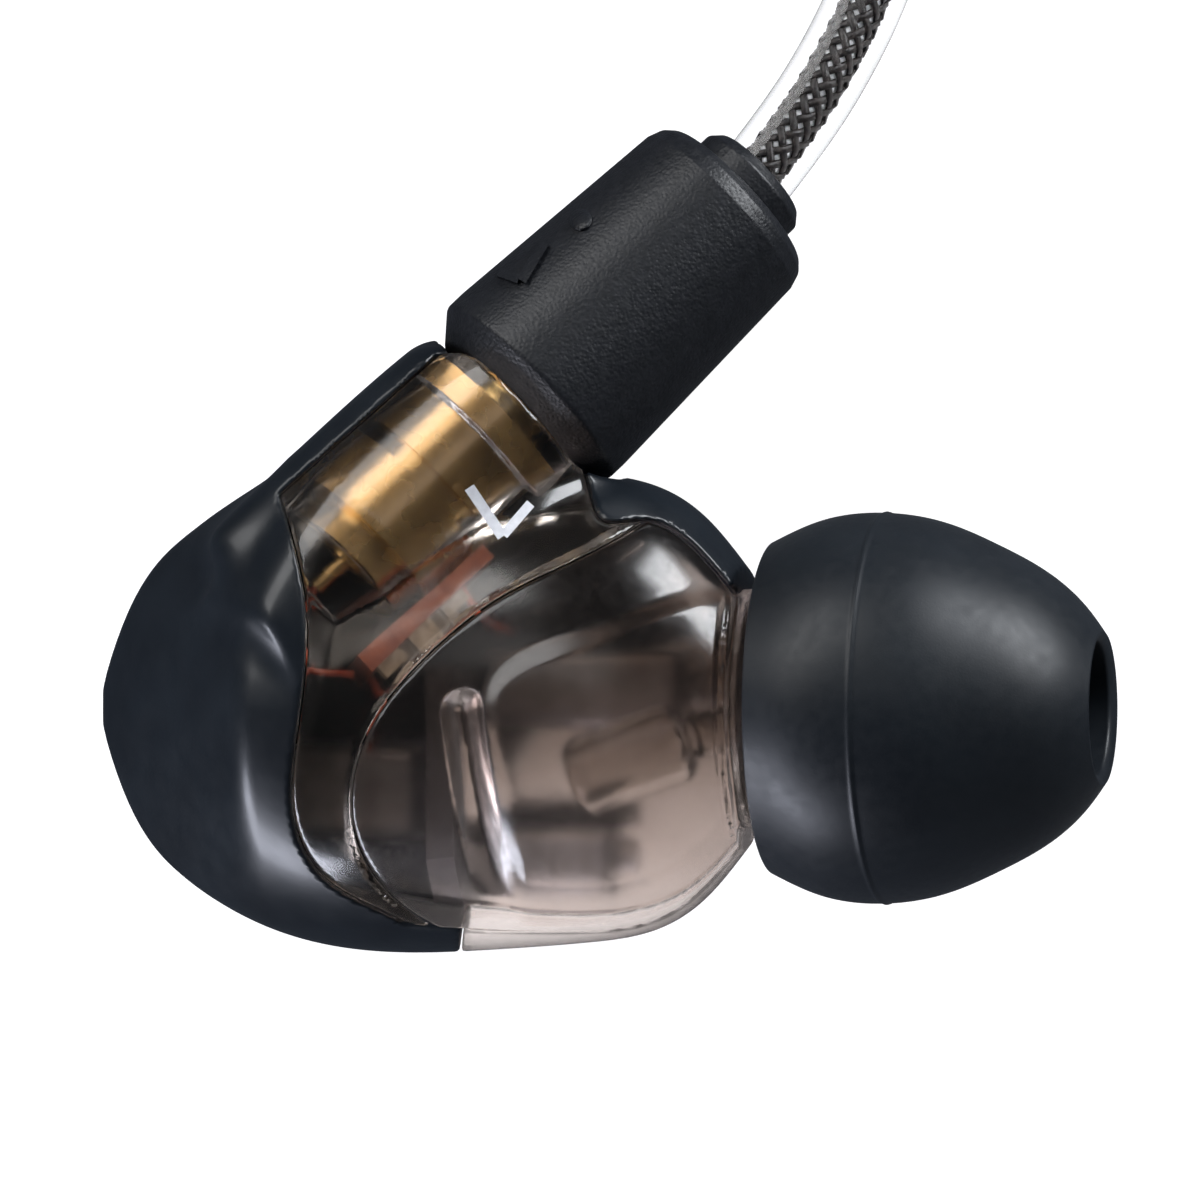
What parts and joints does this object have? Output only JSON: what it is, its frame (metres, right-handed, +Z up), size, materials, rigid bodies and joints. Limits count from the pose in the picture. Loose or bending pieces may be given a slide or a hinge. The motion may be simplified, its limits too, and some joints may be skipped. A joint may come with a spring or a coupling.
{
  "type": "in-ear monitor",
  "caption": "Left in-ear monitor with a silicone tip, smoke and black shells, coaxial connector, formed ear loop, coiled cable and angled jack.",
  "frame": {"origin": "on the table, under the middle of the monitor and its connector plug", "axes": "+X out of the ear tip along the nozzle, +Z up from the table the monitor lies on"},
  "size_m": [0.0501, 0.0932, 0.0145],
  "materials": {
    "cover_black": "piano-gloss black moulding",
    "smoke_clear": "translucent smoke polycarbonate",
    "tip_silicone": "soft satin black silicone",
    "gold_plate": "gold plated, bright turned",
    "driver_steel": "drawn steel can",
    "board_resin": "red-brown circuit board",
    "chip_ceramic": "ceramic chip parts",
    "tube_clear": "clear acoustic tube",
    "cradle_dark": "dark matt nylon",
    "insulator_cream": "cream insulator",
    "wire_copper": "fine insulated wire",
    "screen_mesh": "woven steel mesh",
    "plug_grain": "black moulding with a fine leather grain",
    "loop_jacket": "clear soft jacket over a braided core",
    "cable_black": "satin black cable jacket",
    "tie_black": "woven hook and loop tie"
  },
  "bodies": {
    "cable": {"plug_housing": "plug_grain", "plug_collar": "plug_grain", "plug_sleeve": "gold_plate", "plug_insulator": "insulator_cream", "plug_pin": "gold_plate", "plug_conductor": "wire_copper", "ear_loop": "loop_jacket", "loop_ferrule": "cable_black", "cable_lead": "cable_black", "cable_coil": "cable_black", "cable_tie": "tie_black", "cable_tail": "cable_black", "jack_housing": "plug_grain", "jack_strain_relief": "cable_black", "jack_sleeve": "gold_plate", "jack_ring": "gold_plate", "jack_tip": "gold_plate", "jack_insulators": "cradle_dark"},
    "snap_ring": {"snap_ring": "gold_plate"},
    "earpiece": {"outer_cover": "cover_black", "mid_shell": "smoke_clear", "inner_shell": "smoke_clear", "nozzle_screen": "screen_mesh", "socket_sleeve": "gold_plate", "socket_washer": "gold_plate", "socket_insulator": "insulator_cream", "socket_contact": "gold_plate", "crossover_board": "board_resin", "board_components": "chip_ceramic", "low_driver": "driver_steel", "mid_driver": "driver_steel", "high_driver": "driver_steel", "driver_cradle": "cradle_dark", "low_sound_tube": "tube_clear", "high_sound_tube": "tube_clear", "sound_tube_spigot": "tube_clear", "signal_wires": "wire_copper"},
    "ear_tip": {"ear_tip": "tip_silicone"}
  },
  "joints": [
    {"name": "swivel", "type": "hinge", "parent": "cable", "child": "snap_ring", "pos_m": [-0.00257, 0.00405, 0.00717], "axis": [0.6599, 0.6779, -0.324], "continuous": true},
    {"name": "unplug", "type": "slide", "parent": "snap_ring", "child": "earpiece", "axis": [-0.6599, -0.6779, 0.324], "range_m": [0, 0.0066]},
    {"name": "ear_tip_pull", "type": "slide", "parent": "earpiece", "child": "ear_tip", "axis": [1, 0, 0], "range_m": [0, 0.008]}
  ]
}
